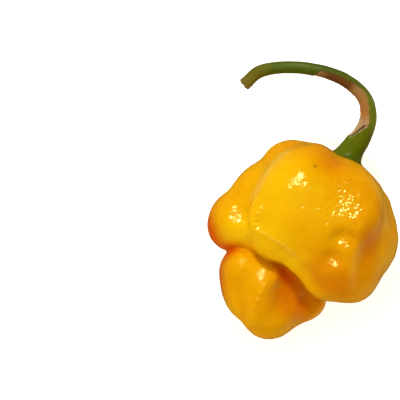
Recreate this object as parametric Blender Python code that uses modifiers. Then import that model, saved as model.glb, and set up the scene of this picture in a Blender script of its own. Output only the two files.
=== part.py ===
"""A ripe yellow Trinidad moruga scorpion pepper, as picked, lying on its side.

The frame has +X to the right and +Y away from the fruit's tip, as seen from above, with +Z up.
The origin lies inside the flat spot on the belly that the fruit rests on.
Two pieces grew here: the pod, which is one solid fruit, and the stalk with its calyx.
"""

import math
from collections import namedtuple

import bmesh
import bpy
import numpy as np
from mathutils import Vector, noise

MM = 0.001

# The pod is a cluster of swollen lobes. Each has its middle, its radii across, along and deep, all in
# millimetres, its turn about Z in degrees, and its fullness. Lobes of a family melt together.
Lobe = namedtuple("Lobe", "name family middle radii turn fullness")
LOBES = (
    Lobe("core", "body", (1.1, 1.8, 16.3), (10.1, 10.6, 11.0), 0, 2.3),
    Lobe("dome", "body", (3.7, 2.4, 20.9), (12.3, 12.0, 12.9), 0, 2.5),
    Lobe("face", "body", (-2.6, 5.5, 22.0), (9.2, 12.8, 11.0), -24, 2.5),
    Lobe("face_corner", "body", (-7.5, -0.4, 22.7), (4.8, 5.9, 7.9), 0, 2.5),
    Lobe("face_low", "body", (5.2, -5.0, 20.9), (9.3, 12.4, 11.2), 45, 2.5),
    Lobe("crown", "body", (2.0, 12.2, 19.4), (4.9, 5.9, 10.1), 0, 2.5),
    Lobe("shoulder", "body", (9.0, 4.3, 21.4), (7.2, 9.4, 11.9), 0, 2.5),
    Lobe("flank", "body", (13.4, 2.4, 17.6), (5.5, 7.5, 9.7), 0, 2.5),
    Lobe("side", "body", (11.4, -2.6, 16.3), (9.0, 9.2, 10.6), 0, 2.5),
    Lobe("hem", "body", (9.9, -9.2, 18.0), (5.7, 6.6, 9.2), 0, 2.5),
    Lobe("belly", "body", (1.0, -0.6, 9.05), (8.8, 12.3, 10.1), -25, 2.0),
    Lobe("back_left", "body", (-6.9, 4.3, 11.2), (7.0, 10.4, 8.8), 10, 2.1),
    Lobe("back_right", "body", (10.3, 1.3, 11.0), (7.0, 11.0, 8.8), -10, 2.1),
    Lobe("back_crown", "body", (7.3, 8.6, 11.0), (7.1, 6.5, 8.4), 0, 2.1),
    Lobe("back_rim", "body", (-8.1, -4.8, 11.0), (6.6, 6.2, 7.5), 0, 2.1),
    Lobe("back_hem", "body", (2.9, -7.9, 11.0), (7.9, 6.2, 8.4), 30, 2.1),
    Lobe("left_back", "body", (-11.2, 3.5, 10.6), (6.2, 8.4, 7.5), -35, 2.1),
    Lobe("brow", "body", (8.5, 9.9, 20.8), (4.4, 4.8, 6.6), 0, 2.5),
    Lobe("hood_lip", "body", (4.3, -10.3, 22.6), (4.9, 4.9, 6.2), 0, 2.5),
    Lobe("left_end", "left", (-15.0, 2.0, 16.8), (5.7, 5.9, 7.2), 0, 2.2),
    Lobe("left_foot", "left", (-15.8, 0.0, 14.5), (5.3, 5.1, 6.2), 0, 2.2),
    Lobe("left_mid", "left", (-9.7, 7.8, 16.6), (6.0, 7.4, 7.2), -45, 2.2),
    Lobe("left_top", "left", (-3.4, 13.4, 17.6), (6.1, 5.9, 6.8), 0, 2.2),
    Lobe("left_fill", "left", (-11.0, 2.0, 17.5), (4.4, 7.5, 6.8), 0, 2.2),
    Lobe("bulb_left", "bulb", (-12.3, -12.3, 15.3), (6.2, 7.9, 7.5), 0, 2.3),
    Lobe("bulb_cheek", "bulb", (-13.9, -8.6, 16.7), (4.2, 4.4, 6.6), 0, 2.3),
    Lobe("bulb_tip", "bulb", (-7.9, -18.7, 15.2), (5.7, 5.9, 6.8), 0, 2.3),
    Lobe("bulb_ridge", "bulb", (-9.4, -13.9, 18.6), (3.6, 8.0, 5.6), -18, 2.3),
    Lobe("bulb_right", "bulb", (-5.0, -14.6, 13.2), (6.6, 7.6, 6.6), 0, 2.3),
    Lobe("bulb_back", "bulb", (0.0, -15.8, 12.6), (4.9, 4.6, 5.0), 0, 2.3),
)
FAMILY_BLEND = {"body": 1.0, "left": 0.9, "bulb": 1.0}
# Shallow hollows in the skin, and swellings where the depth is negative.
Dimple = namedtuple("Dimple", "name middle depth half_width")
DIMPLES = (
    Dimple("pocket under the hood", (0.2, -15.9, 17.5), 1.6, 2.4),
    Dimple("tip notch", (-13.3, -20.8, 15.5), 0.9, 1.8),
)
# Broad folds of the upper side, each along a path of x and y, negative for a crest.
Fold = namedtuple("Fold", "name depth half_width path")
FOLDS = (
    Fold("side valley", 0.7, 2.0,
         ((12.4, 3.0), (12.6, 0.0), (12.7, -3.0), (12.3, -6.0), (11.4, -9.5), (10.6, -12.5))),
    Fold("flank crease", 0.3, 0.9,
         ((19.6, 11.2), (17.1, 7.7), (17.9, 4.5), (18.4, 1.0), (18.7, -1.8))),
    Fold("face groove", 0.5, 1.4,
         ((11.4, 2.6), (8.7, -0.6), (6.8, -2.6), (5.5, -4.5), (4.3, -5.9), (3.4, -8.4))),
    Fold("bulb valley", 0.4, 1.0,
         ((-14.0, -9.0), (-13.9, -13.0), (-13.6, -17.0), (-13.2, -20.5), (-13.4, -22.5))),
    Fold("face crest", -0.35, 1.2,
         ((9.7, 2.0), (10.0, -1.0), (10.1, -4.0), (9.9, -7.0), (9.3, -10.0), (7.8, -13.0))),
)
# Flat places of the upper side: the middle, how far they reach, which way they face, and how flat.
Facet = namedtuple("Facet", "name middle reach facing share")
FACETS = (
    Facet("shoulder plateau", (8.9, 5.5, 33.2), 5.0, (-0.10, 0.306, 0.946), 0.8),
    Facet("upper ledge", (7.7, -3.3, 32.6), 2.0, (-0.10, 0.315, 0.944), 0.75),
    Facet("lower ledge", (5.9, -7.3, 31.8), 1.8, (-0.10, 0.320, 0.943), 0.75),
    Facet("face left edge", (-9.0, 4.6, 31.2), 3.2, (-0.20, 0.25, 0.947), 0.85),
    Facet("face left corner", (-9.6, 0.2, 31.0), 2.6, (-0.25, 0.06, 0.966), 0.8),
    Facet("corner slope", (-8.8, -4.0, 29.9), 2.4, (-0.40, -0.38, 0.834), 0.8),
    Facet("hood rim one", (-5.6, -5.2, 29.6), 2.2, (-0.14, -0.52, 0.842), 0.8),
    Facet("hood rim two", (-2.8, -7.4, 28.9), 2.2, (-0.38, -0.44, 0.814), 0.8),
    Facet("hood rim three", (-0.4, -9.8, 28.7), 2.3, (-0.40, -0.42, 0.815), 0.8),
    Facet("hood rim four", (2.2, -12.6, 28.2), 2.4, (-0.30, -0.48, 0.824), 0.8),
    Facet("left lobe top", (-14.8, 2.3, 24.1), 2.6, (-0.08, 0.31, 0.948), 0.8),
    Facet("bulb right side", (-5.2, -13.6, 21.3), 4.0, (0.53, -0.21, 0.82), 0.8),
    Facet("bulb ridge top", (-8.2, -10.2, 23.8), 2.0, (-0.08, 0.32, 0.944), 0.7),
)
UPPER_SIDE_FROM = 13.0
CREASE_BLEND = 0.3
DENT_DEPTH = 0.3
DENT_SIZE = 7.0

# How finely the pod is meshed, first roughly and then again, in millimetres, with the steps that settle
# each mesh on the skin, and how many of its triangles are kept.
ROUGH_CELL = 0.8
ROUGH_STEPS = 10
POD_CELL = 0.6
FINE_STEPS = 5
SETTLE_REACH = 0.4
POD_SHARE_KEPT = 0.18
CREASE_ROUNDS = 3

# The stalk runs from its cut end round the hook to the calyx: x, y, z and radius in millimetres.
StalkPoint = namedtuple("StalkPoint", "x y z radius")
STALK = (
    StalkPoint(-13.5, 31.5, 18.9, 1.39),
    StalkPoint(-9.3, 34.6, 20.0, 1.37),
    StalkPoint(-1.4, 35.1, 21.6, 1.33),
    StalkPoint(6.9, 33.1, 22.2, 1.51),
    StalkPoint(12.3, 29.1, 22.0, 1.68),
    StalkPoint(13.7, 24.5, 20.8, 1.9),
    StalkPoint(12.4, 20.3, 18.9, 2.31),
    StalkPoint(9.2, 15.8, 16.9, 3.3),
    StalkPoint(7.0, 12.6, 15.8, 4.2),
    StalkPoint(6.1, 11.3, 15.4, 4.4),
)
STALK_RINGS = 4
STALK_SIDES_STEP = 3
JOIN_GAP = 0.3


def clear_scene():
    """Remove whatever the scene holds."""
    for thing in list(bpy.data.objects):
        bpy.data.objects.remove(thing, do_unlink=True)


def new_collection(name):
    """A collection under the scene's own."""
    collection = bpy.data.collections.new(name)
    bpy.context.scene.collection.children.link(collection)
    return collection


def plain_material(name, colour, roughness):
    """A Principled material of one colour, given as linear red, green and blue."""
    material = bpy.data.materials.new(name)
    material.use_nodes = True
    shader = material.node_tree.nodes["Principled BSDF"]
    shader.inputs["Base Color"].default_value = (*colour, 1.0)
    shader.inputs["Roughness"].default_value = roughness
    shader.inputs["Metallic"].default_value = 0.0
    return material


def smooth_step(low, high, value):
    """0 below low, 1 above high, and an even S between."""
    t = np.clip((value - low) / (high - low), 0.0, 1.0)
    return t * t * (3.0 - 2.0 * t)


def soft_least(distances, normals, blend):
    """The least of several distances, with the blend width rounding where two are alike."""
    least = distances.min(axis=0)
    weights = np.exp(-(distances - least) / blend)
    total = weights.sum(axis=0)
    normal = (normals * weights[..., None]).sum(axis=0) / total[..., None]
    return least - blend * np.log(total), normal


def path_distance(points, path):
    """How far points are from a path seen from above, and how far along it they lie, from 0 to 1."""
    path = np.array(path)
    lengths = np.linalg.norm(np.diff(path, axis=0), axis=1)
    starts = np.concatenate([[0.0], np.cumsum(lengths)])
    best = np.full(len(points), 1e9)
    along = np.zeros(len(points))
    for start, end, length, before in zip(path[:-1], path[1:], lengths, starts):
        direction = (end - start) / length
        reach = ((points[:, :2] - start) @ direction).clip(0.0, length)
        gap = np.linalg.norm(points[:, :2] - start - reach[:, None] * direction, axis=1)
        nearer = gap < best
        best[nearer] = gap[nearer]
        along[nearer] = (before + reach[nearer]) / starts[-1]
    return best, along


def lobe_distance(points, lobe):
    """How far each point is outside one lobe, and which way is out. A fullness above 2 makes a lobe
    flatter on top and steeper at its sides than an ellipsoid, with the same outline from above."""
    fullness = lobe.fullness
    turn = math.radians(lobe.turn)
    axes = np.array(
        [
            [math.cos(turn), -math.sin(turn), 0.0],
            [math.sin(turn), math.cos(turn), 0.0],
            [0.0, 0.0, 1.0],
        ]
    )
    radii = np.array(lobe.radii)
    scaled = (points - np.array(lobe.middle)) @ axes / radii
    level = np.hypot(scaled[:, 0], scaled[:, 1]) + 1e-9
    upright = np.abs(scaled[:, 2]) + 1e-9
    reach = (level**fullness + upright**fullness) ** (1.0 / fullness)
    slope = np.empty_like(scaled)
    slope[:, :2] = scaled[:, :2] * (level ** (fullness - 2.0) / reach ** (fullness - 1.0))[:, None]
    slope[:, 2] = np.sign(scaled[:, 2]) * (upright / reach) ** (fullness - 1.0)
    slope /= radii
    steepness = np.linalg.norm(slope, axis=1) + 1e-9
    return (reach - 1.0) / steepness, (slope / steepness[:, None]) @ axes.T


def skin_distance(points):
    """How far each point is outside the pod's skin, and which way is out, in millimetres."""
    families = {}
    for lobe in LOBES:
        families.setdefault(lobe.family, []).append(lobe_distance(points, lobe))
    merged = []
    for family, members in families.items():
        distances = np.array([member[0] for member in members])
        normals = np.array([member[1] for member in members])
        merged.append(soft_least(distances, normals, FAMILY_BLEND[family]))
    distances = np.array([member[0] for member in merged])
    normals = np.array([member[1] for member in merged])
    distance, normal = soft_least(distances, normals, CREASE_BLEND)
    for dimple in DIMPLES:
        gap = np.linalg.norm(points - np.array(dimple.middle), axis=1)
        distance = distance + dimple.depth * np.exp(-((gap / dimple.half_width) ** 2))
    upper = smooth_step(UPPER_SIDE_FROM, UPPER_SIDE_FROM + 6.0, points[:, 2])
    for fold in FOLDS:
        gap, along = path_distance(points, fold.path)
        depth = fold.depth * smooth_step(0.0, 0.25, along) * smooth_step(1.0, 0.75, along)
        distance = distance + depth * np.exp(-((gap / fold.half_width) ** 2)) * upper
    for facet in FACETS:
        offset = points - np.array(facet.middle)
        share = facet.share * np.exp(-((np.linalg.norm(offset, axis=1) / facet.reach) ** 2))
        distance = distance * (1.0 - share) + offset @ np.array(facet.facing) * share
    return distance, normal


def dents(points):
    """Shallow swells and dents of the skin, as a height in millimetres at each point."""
    heights = [noise.noise(Vector(point) / DENT_SIZE) for point in points]
    return DENT_DEPTH * np.array(heights)


def mesh_points(mesh):
    """A mesh's vertices as an array in millimetres."""
    flat = np.empty(len(mesh.vertices) * 3)
    mesh.vertices.foreach_get("co", flat)
    return flat.reshape(-1, 3) / MM


def settle_on_skin(mesh, steps):
    """Move the vertices of a rough mesh onto the blended, dented skin, in a few steps."""
    points = mesh_points(mesh)
    for _ in range(steps):
        distance, normal = skin_distance(points)
        miss = np.clip(distance - dents(points), -SETTLE_REACH, SETTLE_REACH)
        length = np.linalg.norm(normal, axis=1).clip(0.3)
        points -= normal * (miss / length**2)[:, None]
    mesh.vertices.foreach_set("co", (points * MM).ravel())
    mesh.update()


def lobe_sphere(lobe):
    """One lobe as a stretched and turned sphere."""
    bpy.ops.mesh.primitive_uv_sphere_add(
        segments=32,
        ring_count=20,
        radius=1.0,
        location=[place * MM for place in lobe.middle],
        rotation=(0.0, 0.0, math.radians(lobe.turn)),
        scale=[radius * MM for radius in lobe.radii],
    )
    sphere = bpy.context.object
    sphere.name = lobe.name
    return sphere


def evaluated_mesh(thing):
    """A new mesh of the object with its modifiers applied, in the object's own space."""
    bpy.context.view_layer.update()
    graph = bpy.context.evaluated_depsgraph_get()
    return bpy.data.meshes.new_from_object(thing.evaluated_get(graph))


def voxel_skin(thing, cell):
    """The object's outer skin as one even mesh; the object is removed."""
    remesh = thing.modifiers.new("one skin", "REMESH")
    remesh.mode = "VOXEL"
    remesh.voxel_size = cell * MM
    mesh = evaluated_mesh(thing)
    bpy.data.objects.remove(thing, do_unlink=True)
    return mesh


def pod_mesh():
    """The lobes joined into one closed mesh, settled on the skin, and meshed again evenly."""
    spheres = [lobe_sphere(lobe) for lobe in LOBES]
    bpy.ops.object.select_all(action="DESELECT")
    for sphere in spheres:
        sphere.select_set(True)
    bpy.context.view_layer.objects.active = spheres[0]
    bpy.ops.object.join()
    bpy.ops.object.transform_apply(location=True, rotation=True, scale=True)
    mesh = voxel_skin(bpy.context.object, ROUGH_CELL)
    settle_on_skin(mesh, ROUGH_STEPS)
    rough = bpy.data.objects.new("rough pod", mesh)
    bpy.context.scene.collection.objects.link(rough)
    mesh = voxel_skin(rough, POD_CELL)
    settle_on_skin(mesh, FINE_STEPS)
    return mesh


def stalk_curve(name, extra, length_beyond):
    """The stalk as a bevelled curve, thicker by extra and longer at the calyx end, in millimetres."""
    curve = bpy.data.curves.new(name, "CURVE")
    curve.dimensions = "3D"
    curve.bevel_depth = MM
    curve.bevel_resolution = STALK_SIDES_STEP
    curve.resolution_u = STALK_RINGS
    curve.use_fill_caps = True
    spline = curve.splines.new("BEZIER")
    spline.bezier_points.add(len(STALK) - 1)
    before, last = (Vector(point[:3]) for point in STALK[-2:])
    for handle, point in zip(spline.bezier_points, STALK):
        handle.co = Vector(point[:3]) * MM
        handle.radius = point.radius + extra
        handle.handle_left_type = "AUTO"
        handle.handle_right_type = "AUTO"
    spline.bezier_points[-1].co += (last - before).normalized() * length_beyond * MM
    return bpy.data.objects.new(name, curve)


def solid_from_curve(curve, collection):
    """The curve as a mesh object with its caps welded, the curve being removed."""
    bpy.context.scene.collection.objects.link(curve)
    mesh = evaluated_mesh(curve)
    build = bmesh.new()
    build.from_mesh(mesh)
    bmesh.ops.remove_doubles(build, verts=build.verts, dist=0.01 * MM)
    bmesh.ops.recalc_face_normals(build, faces=build.faces)
    build.to_mesh(mesh)
    build.free()
    solid = bpy.data.objects.new(curve.name, mesh)
    solid.matrix_world = curve.matrix_world
    name = curve.name
    bpy.data.objects.remove(curve, do_unlink=True)
    solid.name = name
    collection.objects.link(solid)
    return solid


def as_cutter(thing):
    """Show an object as a wire that is never rendered."""
    thing.hide_render = True
    thing.display_type = "WIRE"
    return thing


def floor_cutter(collection):
    """A block under the surface that the fruit rests on."""
    side, depth = 80.0 * MM, 10.0 * MM
    build = bmesh.new()
    bmesh.ops.create_cube(build, size=1.0)
    bmesh.ops.scale(build, verts=build.verts, vec=(side, side, depth))
    bmesh.ops.translate(build, verts=build.verts, vec=(0.0, 0.0, -depth / 2))
    mesh = bpy.data.meshes.new("floor_cut")
    build.to_mesh(mesh)
    build.free()
    block = bpy.data.objects.new("floor_cut", mesh)
    collection.objects.link(block)
    return as_cutter(block)


def cut_away(thing, cutter, name):
    """Take the cutter's volume away from an object with a Boolean."""
    cut = thing.modifiers.new(name, "BOOLEAN")
    cut.operation = "DIFFERENCE"
    cut.solver = "EXACT"
    cut.object = cutter


def make_pod(parts, cutters):
    """The fruit: one solid with a flat spot under it and a hollow for the calyx."""
    mesh = pod_mesh()
    mesh.name = "pod"
    pod = bpy.data.objects.new("pod", mesh)
    parts.objects.link(pod)
    even = pod.modifiers.new("even creases", "SMOOTH")
    even.factor = 0.5
    even.iterations = CREASE_ROUNDS
    fewer = pod.modifiers.new("fewer faces", "DECIMATE")
    fewer.ratio = POD_SHARE_KEPT
    cut_away(pod, floor_cutter(cutters), "flat spot")
    hollow = solid_from_curve(stalk_curve("calyx_hollow", JOIN_GAP, JOIN_GAP), cutters)
    cut_away(pod, as_cutter(hollow), "calyx hollow")
    mesh.materials.clear()
    mesh.materials.append(plain_material("pod skin", (0.80, 0.36, 0.004), 0.22))
    mesh.shade_smooth()
    return pod


def make_stem(parts):
    """The stalk, hooked round and widening into the calyx."""
    stem = solid_from_curve(stalk_curve("stem", 0.0, 0.0), parts)
    stem.data.materials.append(plain_material("stalk green", (0.11, 0.17, 0.02), 0.45))
    stem.data.shade_smooth()
    return stem


def main():
    clear_scene()
    parts = new_collection("moruga scorpion pepper")
    cutters = new_collection("cutters")
    make_pod(parts, cutters)
    make_stem(parts)


main()
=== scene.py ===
import math
from collections import namedtuple

import bmesh
import bpy
import numpy as np
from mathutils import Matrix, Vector, noise


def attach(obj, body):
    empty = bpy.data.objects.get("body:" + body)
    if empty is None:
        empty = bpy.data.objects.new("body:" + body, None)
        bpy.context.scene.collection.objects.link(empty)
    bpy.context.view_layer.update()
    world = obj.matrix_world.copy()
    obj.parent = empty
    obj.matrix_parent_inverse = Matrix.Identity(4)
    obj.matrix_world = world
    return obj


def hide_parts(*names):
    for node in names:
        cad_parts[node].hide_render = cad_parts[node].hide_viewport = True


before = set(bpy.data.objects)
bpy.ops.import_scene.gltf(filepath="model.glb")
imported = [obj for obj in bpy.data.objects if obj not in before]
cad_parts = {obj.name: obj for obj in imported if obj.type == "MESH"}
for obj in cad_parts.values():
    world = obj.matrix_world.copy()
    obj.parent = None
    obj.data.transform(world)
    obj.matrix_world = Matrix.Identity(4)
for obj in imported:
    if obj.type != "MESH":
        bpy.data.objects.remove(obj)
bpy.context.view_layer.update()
MM = 0.001

# The pod's lobes, in millimetres, as in the solid: middle, radii across, along and deep, the turn about
# Z in degrees, and the fullness. Lobes of one family melt together, and families meet in creases.
Lobe = namedtuple("Lobe", "name family middle radii turn fullness")
LOBES = (
    Lobe("core", "body", (1.1, 1.8, 16.3), (10.1, 10.6, 11.0), 0, 2.3),
    Lobe("dome", "body", (3.7, 2.4, 20.9), (12.3, 12.0, 12.9), 0, 2.5),
    Lobe("face", "body", (-2.6, 5.5, 22.0), (9.2, 12.8, 11.0), -24, 2.5),
    Lobe("face_corner", "body", (-7.5, -0.4, 22.7), (4.8, 5.9, 7.9), 0, 2.5),
    Lobe("face_low", "body", (5.2, -5.0, 20.9), (9.3, 12.4, 11.2), 45, 2.5),
    Lobe("crown", "body", (2.0, 12.2, 19.4), (4.9, 5.9, 10.1), 0, 2.5),
    Lobe("shoulder", "body", (9.0, 4.3, 21.4), (7.2, 9.4, 11.9), 0, 2.5),
    Lobe("flank", "body", (13.4, 2.4, 17.6), (5.5, 7.5, 9.7), 0, 2.5),
    Lobe("side", "body", (11.4, -2.6, 16.3), (9.0, 9.2, 10.6), 0, 2.5),
    Lobe("hem", "body", (9.9, -9.2, 18.0), (5.7, 6.6, 9.2), 0, 2.5),
    Lobe("belly", "body", (1.0, -0.6, 9.05), (8.8, 12.3, 10.1), -25, 2.0),
    Lobe("back_left", "body", (-6.9, 4.3, 11.2), (7.0, 10.4, 8.8), 10, 2.1),
    Lobe("back_right", "body", (10.3, 1.3, 11.0), (7.0, 11.0, 8.8), -10, 2.1),
    Lobe("back_crown", "body", (7.3, 8.6, 11.0), (7.1, 6.5, 8.4), 0, 2.1),
    Lobe("back_rim", "body", (-8.1, -4.8, 11.0), (6.6, 6.2, 7.5), 0, 2.1),
    Lobe("back_hem", "body", (2.9, -7.9, 11.0), (7.9, 6.2, 8.4), 30, 2.1),
    Lobe("left_back", "body", (-11.2, 3.5, 10.6), (6.2, 8.4, 7.5), -35, 2.1),
    Lobe("brow", "body", (8.5, 9.9, 20.8), (4.4, 4.8, 6.6), 0, 2.5),
    Lobe("hood_lip", "body", (4.3, -10.3, 22.6), (4.9, 4.9, 6.2), 0, 2.5),
    Lobe("left_end", "left", (-15.0, 2.0, 16.8), (5.7, 5.9, 7.2), 0, 2.2),
    Lobe("left_foot", "left", (-15.8, 0.0, 14.5), (5.3, 5.1, 6.2), 0, 2.2),
    Lobe("left_mid", "left", (-9.7, 7.8, 16.6), (6.0, 7.4, 7.2), -45, 2.2),
    Lobe("left_top", "left", (-3.4, 13.4, 17.6), (6.1, 5.9, 6.8), 0, 2.2),
    Lobe("left_fill", "left", (-11.0, 2.0, 17.5), (4.4, 7.5, 6.8), 0, 2.2),
    Lobe("bulb_left", "bulb", (-12.3, -12.3, 15.3), (6.2, 7.9, 7.5), 0, 2.3),
    Lobe("bulb_cheek", "bulb", (-13.9, -8.6, 16.7), (4.2, 4.4, 6.6), 0, 2.3),
    Lobe("bulb_tip", "bulb", (-7.9, -18.7, 15.2), (5.7, 5.9, 6.8), 0, 2.3),
    Lobe("bulb_ridge", "bulb", (-9.4, -13.9, 18.6), (3.6, 8.0, 5.6), -18, 2.3),
    Lobe("bulb_right", "bulb", (-5.0, -14.6, 13.2), (6.6, 7.6, 6.6), 0, 2.3),
    Lobe("bulb_back", "bulb", (0.0, -15.8, 12.6), (4.9, 4.6, 5.0), 0, 2.3),
)
# How widely lobes melt together within a family, and how wide the crease is where a family joins the body.
FAMILY_BLEND = {"body": 1.0, "left": 0.9, "bulb": 1.0}
CREASE_BLENDS = {"left": 0.8, "bulb": 0.14}
# Shallow hollows in the skin, and swellings where the depth is negative.
Dimple = namedtuple("Dimple", "name middle depth half_width")
DIMPLES = (
    Dimple("pocket under the hood", (0.2, -15.9, 17.5), 1.6, 2.4),
    Dimple("tip notch", (-13.3, -20.8, 15.5), 0.9, 1.8),
    Dimple("side notch one", (16.9, 7.9, 20.0), 0.35, 1.1),
    Dimple("side notch two", (19.4, 3.5, 19.0), 0.35, 1.1),
    Dimple("side notch three", (19.8, -0.3, 18.5), 0.3, 1.0),
)
# Broad folds of the upper side, each along a path of x and y, negative for a crest.
Fold = namedtuple("Fold", "name depth half_width path")
FOLDS = (
    Fold("side valley", 0.3, 2.0,
         ((12.4, 3.0), (12.6, 0.0), (12.7, -3.0), (12.3, -6.0), (11.4, -9.5), (10.6, -12.5))),
    Fold("flank crease", 0.3, 0.9,
         ((19.6, 11.2), (17.1, 7.7), (17.9, 4.5), (18.4, 1.0), (18.7, -1.8))),
    Fold("face groove", 0.25, 1.6,
         ((10.8, 3.3), (8.0, 0.2), (6.1, -1.9), (4.8, -3.9), (3.6, -5.3), (2.7, -7.9))),
    Fold("bulb valley", 0.4, 1.0,
         ((-14.0, -9.0), (-13.9, -13.0), (-13.6, -17.0), (-13.2, -20.5), (-13.4, -22.5))),
    Fold("face crest", -0.35, 1.2,
         ((9.7, 2.0), (10.0, -1.0), (10.1, -4.0), (9.9, -7.0), (9.3, -10.0), (7.8, -13.0))),
)
# Flat places of the upper side: the middle, how far they reach, which way they face, and how flat.
Facet = namedtuple("Facet", "name middle reach facing share")
FACETS = (
    Facet("shoulder plateau", (9.2, 4.6, 33.5), 6.6, (-0.10, 0.306, 0.946), 0.85),
    Facet("upper ledge", (7.5, -3.1, 32.6), 3.0, (-0.10, 0.315, 0.944), 0.93),
    Facet("lower ledge", (5.7, -7.2, 31.9), 2.6, (-0.10, 0.320, 0.943), 0.93),
    Facet("face left edge", (-9.7, 4.1, 31.2), 3.5, (-0.14, 0.29, 0.947), 0.92),
    Facet("face left corner", (-9.9, 0.6, 30.96), 2.5, (-0.20, 0.12, 0.972), 0.85),
    Facet("corner slope", (-8.8, -4.0, 29.9), 2.4, (-0.40, -0.38, 0.834), 0.8),
    Facet("hood rim one", (-5.8, -5.7, 29.4), 2.2, (-0.14, -0.52, 0.842), 0.8),
    Facet("hood rim two", (-3.2, -7.9, 28.6), 2.2, (-0.38, -0.44, 0.814), 0.8),
    Facet("hood rim three", (-0.4, -9.8, 28.7), 2.3, (-0.40, -0.42, 0.815), 0.8),
    Facet("hood rim four", (2.2, -12.6, 28.2), 2.4, (-0.30, -0.48, 0.824), 0.8),
    Facet("left lobe top", (-14.8, 2.3, 24.1), 2.4, (-0.08, 0.31, 0.948), 0.8),
    Facet("bulb right side", (-5.2, -13.6, 21.3), 4.0, (0.53, -0.21, 0.82), 0.8),
    Facet("bulb ridge top", (-8.2, -10.2, 23.8), 2.2, (-0.08, 0.32, 0.944), 0.85),
)
# How sharply a facet ends: a higher number makes its edge crisper.
FACET_EDGE = 2.8
# Folds, ridges and the painted highlight lines show on the upper side alone, and folds fade in over this
# height.
UPPER_SIDE_FROM = 13.0
UPPER_SIDE_FADE = 6.0
# Folds, ridges and the painted highlight lines fade out over this share of their path at each end.
FOLD_ENDS = 0.25
RIDGE_ENDS = 0.18
PAINTED_HIGHLIGHT_ENDS = 0.15
# Broad uneven swells of the whole skin.
DENT_DEPTH = 0.3
DENT_SIZE = 7.0
# How the skin's mesh is made: a rough one settles on the blended lobes, and a finer one that is made from
# it settles again and is relaxed.
LOBE_SEGMENTS = 48
LOBE_RINGS = 32
ROUGH_CELL = 0.5
ROUGH_STEPS = 8
POD_CELL = 0.3
FINE_STEPS = 3
SETTLE_REACH = 0.4
LEAST_NORMAL = 0.3
RELAX_ROUNDS = 4

# Narrow knobbed ridges of the upper side. Each runs along a path of x and y in millimetres, with the
# height of its middle, its half width, and how far apart its knobs are.
Ridge = namedtuple("Ridge", "name height half_width knobs path")
RIDGES = (
    Ridge("face shoulder", 0.36, 0.45, 1.3,
          ((-9.8, 5.7), (-10.5, 3.4), (-11.2, 1.2), (-11.3, -0.1), (-9.7, -0.8), (-7.8, -2.0),
           (-5.3, -3.4), (-3.1, -5.3))),
    Ridge("bulb ridge", 0.4, 0.6, 1.7,
          ((-7.2, -8.0), (-7.9, -9.5), (-8.5, -11.2), (-9.6, -13.4), (-10.9, -16.2), (-11.6, -18.9))),
    Ridge("bulb fold one", 0.36, 0.42, 2.4, ((-13.7, -5.0), (-13.7, -6.3), (-12.6, -6.9), (-11.3, -7.1))),
    Ridge("bulb fold two", 0.36, 0.42, 2.4, ((-15.7, -7.1), (-15.0, -8.0), (-13.7, -8.6), (-13.1, -9.3))),
)
# How much of a ridge's height its knobs take, and how far up the skin has to face for the full height.
KNOB_SHARE = 0.3
RIDGE_FROM_SLOPE = 0.25
# Patches of fine wrinkles: middle, reach, height, and size of the wrinkles.
Wrinkles = namedtuple("Wrinkles", "name middle reach height size")
WRINKLES = (
    Wrinkles("groove top", (9.4, 0.3, 33.7), 1.7, 0.16, 0.8),
    Wrinkles("upper ledge", (7.5, -3.1, 32.6), 2.7, 0.09, 0.75),
    Wrinkles("lower ledge", (5.5, -7.1, 31.9), 2.3, 0.09, 0.75),
    Wrinkles("bulb ridge top", (-8.0, -10.4, 23.9), 1.8, 0.08, 0.8),
    Wrinkles("left lobe top", (-14.8, 3.2, 24.0), 2.6, 0.1, 0.8),
)
# Beyond this multiple of its reach a patch adds nothing.
WRINKLES_END = 1.4
# How far the mesh is made finer: in millimetres beside a ridge, and as a multiple of a patch's reach.
REFINE_REACH = 1.25
# Layers of the fine bumpy skin: height and size of the bumps, and where in the noise they start.
SKIN_BUMPS = ((0.08, 2.6, 3.1), (0.03, 1.3, 7.7), (0.008, 0.8, 12.9))
# How deep in a fold a point is, judged at these distances from the skin, each with its share; the skin's
# colour gets painted shade from it.
SHELTER_STEPS = ((0.7, 0.3), (1.8, 0.4), (4.0, 0.3))
# Painted highlight lines: pale lines in the skin's colour that stand for highlights and sheen along folds
# and edges, seen from above.
PaintedHighlightLine = namedtuple("PaintedHighlightLine", "name strength half_width path")
PAINTED_HIGHLIGHT_LINES = (
    PaintedHighlightLine("seam of the left lobe", 0.45, 0.5,
             ((-2.8, 17.6), (-5.6, 15.7), (-7.6, 13.6), (-9.6, 10.6), (-11.2, 7.6), (-12.1, 4.8))),
    PaintedHighlightLine("face edge", 0.22, 0.26,
             ((-11.3, -0.1), (-9.7, -0.8), (-7.8, -2.0), (-5.3, -3.4), (-3.1, -5.3), (-1.8, -6.9))),
    PaintedHighlightLine("flank edge", 0.22, 0.7, ((12.6, 12.0), (14.6, 9.6), (16.0, 6.4), (17.3, 2.7), (17.6, -1.5))),
    PaintedHighlightLine("side crest", 0.16, 0.8,
             ((11.3, -2.2), (11.0, -4.4), (10.0, -6.4), (9.8, -9.0), (9.9, -11.6), (9.2, -13.6))),
)
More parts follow.
